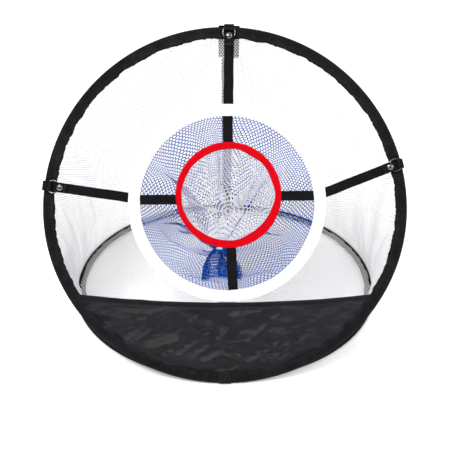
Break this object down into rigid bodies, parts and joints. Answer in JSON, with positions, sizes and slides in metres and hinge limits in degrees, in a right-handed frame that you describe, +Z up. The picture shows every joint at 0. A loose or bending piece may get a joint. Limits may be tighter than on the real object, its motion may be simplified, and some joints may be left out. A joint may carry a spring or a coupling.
{
  "type": "golf chipping net",
  "caption": "Pop-up golf chipping net: two sprung hoops holding a net tent, with a white target ring and a red target ring, each with its own net pocket, hung on straps.",
  "frame": {"origin": "on the ground, under the middle of the bounding box", "axes": "+Z up; +Y from the front of the net, where the ball comes in, to its back; +X to the player's right"},
  "size_m": [0.5203, 0.5296, 0.4525],
  "materials": {
    "black_binding": "woven polyester binding tape, fine cross ribs, matte",
    "black_webbing": "woven polyester webbing, matte",
    "panel_cloth": "coated polyester cloth, wrinkled, soft sheen",
    "white_binding": "smooth woven polyester binding, matte",
    "red_binding": "woven polyester binding, matte",
    "white_net": "open knitted polyester mesh with hexagonal cells",
    "blue_net": "open knitted polyester mesh with hexagonal cells",
    "label_cloth": "blank woven strip",
    "spring_steel": "drawn spring wire",
    "nickel": "nickel plated, slightly worn"
  },
  "bodies": {
    "base": {"base_hoop_wire": "spring_steel", "base_wire_ferrule": "spring_steel", "base_hoop_sleeve": "black_binding", "base_label": "label_cloth", "hoop_hinge_web": "black_webbing", "floor_net": "white_net", "outer_net_left": "white_net", "outer_net_right": "white_net", "rear_centre_tape": "black_webbing"},
    "front": {"front_hoop_wire": "spring_steel", "front_wire_ferrule": "spring_steel", "front_hoop_sleeve": "black_binding", "front_binding_overlap": "black_binding", "front_panel": "panel_cloth", "panel_hem": "panel_cloth", "top_anchor_patch": "black_webbing", "hoop_tab_top": "black_webbing", "hoop_tab_left": "black_webbing", "hoop_tab_right": "black_webbing", "o_ring_top": "nickel", "o_ring_left": "nickel", "o_ring_right": "nickel", "outer_strap_top": "black_webbing", "outer_strap_left": "black_webbing", "outer_strap_right": "black_webbing", "snap_cap_top": "nickel", "snap_cap_left": "nickel", "snap_cap_right": "nickel", "snap_back_top": "nickel", "snap_back_left": "nickel", "snap_back_right": "nickel"},
    "white_ring": {"white_ring_wire": "spring_steel", "white_wire_ferrule": "spring_steel", "white_ring_sleeve": "white_binding", "blue_pocket_net": "blue_net", "ring_seam_tab": "white_binding", "inner_strap_top": "black_webbing", "inner_strap_left": "black_webbing", "inner_strap_right": "black_webbing", "inner_strap_bottom": "black_webbing"},
    "red_ring": {"red_ring_wire": "spring_steel", "red_wire_ferrule": "spring_steel", "red_ring_sleeve": "red_binding", "inner_pocket_net": "white_net"}
  },
  "joints": [
    {"name": "front_fold", "type": "hinge", "parent": "base", "child": "front", "pos_m": [0, -0.254, 0.00745], "axis": [-1, 0, 0], "range_deg": [0, 54], "stiffness_Nm_per_rad": 1, "springref_deg": -85.94, "deforming": ["outer_net_left", "outer_net_right", "rear_centre_tape", "hoop_hinge_web", "blue_pocket_net", "inner_pocket_net"]},
    {"name": "white_ring_sway", "type": "hinge", "parent": "front", "child": "white_ring", "pos_m": [0.003, -0.20582, 0.10204], "axis": [-1, 0, 0], "range_deg": [0, 6], "stiffness_Nm_per_rad": 3, "springref_deg": -6.88, "deforming": ["outer_strap_top", "outer_strap_left", "outer_strap_right", "ring_seam_tab"]},
    {"name": "red_ring_push", "type": "slide", "parent": "white_ring", "child": "red_ring", "axis": [0, 0.8755, -0.4833], "range_m": [0, 0.02], "stiffness_N_per_m": 60, "springref_m": -0.012, "deforming": ["inner_strap_top", "inner_strap_left", "inner_strap_right", "inner_strap_bottom"]}
  ]
}
